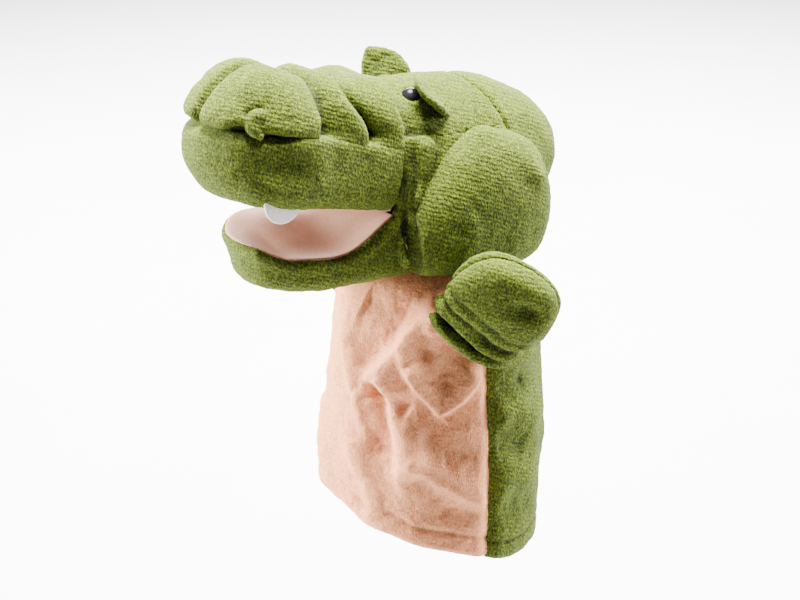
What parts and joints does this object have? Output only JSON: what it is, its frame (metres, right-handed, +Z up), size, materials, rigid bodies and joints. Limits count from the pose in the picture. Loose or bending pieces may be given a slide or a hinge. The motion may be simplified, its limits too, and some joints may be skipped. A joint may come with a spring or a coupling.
{
  "type": "moving mouth puppet",
  "caption": "Plush crocodile hand puppet: open sleeve, nodding head, upper and lower jaws that open and close, and two stuffed arms.",
  "frame": {"origin": "centre of the sleeve's opening, where the wearer's forearm goes in", "axes": "+Z up along the sleeve, -Y the way the puppet looks, +X towards the puppet's left arm"},
  "size_m": [0.1652, 0.1833, 0.235],
  "materials": {
    "plush_green": "short-pile plush",
    "plush_peach": "short-pile plush",
    "mouth_cloth": "smooth velour",
    "white_felt": "felt",
    "eye_black": "gloss",
    "washer_plastic": "matte",
    "lining_cloth": "thin woven cloth",
    "polyester_fill": "loose fibre"
  },
  "bodies": {
    "sleeve": {"belly_panel": "plush_peach", "back_panel": "plush_green"},
    "head": {"crown_panel": "plush_green", "nape_panel": "plush_green", "head_side_left": "plush_green", "head_side_right": "plush_green", "head_filling": "polyester_fill", "hand_pouch": "lining_cloth", "cheek_left": "plush_green", "cheek_right": "plush_green", "cheek_filling_left": "polyester_fill", "cheek_filling_right": "polyester_fill", "brow_flap_left": "plush_green", "brow_flap_right": "plush_green", "eye_left": "eye_black", "eye_right": "eye_black", "eye_washer_left": "washer_plastic", "eye_washer_right": "washer_plastic"},
    "upper_jaw": {"muzzle_top_panel": "plush_green", "muzzle_lip_band": "plush_green", "palate_lining": "mouth_cloth", "muzzle_filling": "polyester_fill", "finger_pocket": "lining_cloth", "tooth_left": "white_felt", "tooth_right": "white_felt", "nostril_left": "plush_green", "nostril_right": "plush_green"},
    "lower_jaw": {"chin_panel": "plush_green", "mouth_floor_lining": "mouth_cloth", "jaw_filling": "polyester_fill", "thumb_pocket": "lining_cloth"},
    "arm_left": {"arm_left_outside": "plush_green", "arm_left_inside": "plush_green", "arm_left_filling": "polyester_fill"},
    "arm_right": {"arm_right_outside": "plush_green", "arm_right_inside": "plush_green", "arm_right_filling": "polyester_fill"}
  },
  "joints": [
    {"name": "neck_nod", "type": "hinge", "parent": "sleeve", "child": "head", "pos_m": [0, 0, 0.112], "axis": [1, 0, 0], "range_deg": [-12, 12]},
    {"name": "upper_jaw_lift", "type": "hinge", "parent": "head", "child": "upper_jaw", "pos_m": [0, -0.037, 0.157], "axis": [-1, 0, 0], "range_deg": [-8, 5]},
    {"name": "lower_jaw_drop", "type": "hinge", "parent": "head", "child": "lower_jaw", "pos_m": [0, -0.037, 0.157], "axis": [1, 0, 0], "range_deg": [-12, 15]},
    {"name": "arm_left_swing", "type": "hinge", "parent": "sleeve", "child": "arm_left", "pos_m": [0.048, -0.012, 0.1], "axis": [0, 0, -1], "range_deg": [-20, 30], "stiffness_Nm_per_rad": 0.004},
    {"name": "arm_right_swing", "type": "hinge", "parent": "sleeve", "child": "arm_right", "pos_m": [-0.048, -0.012, 0.1], "axis": [0, 0, 1], "range_deg": [-20, 30], "stiffness_Nm_per_rad": 0.004}
  ]
}
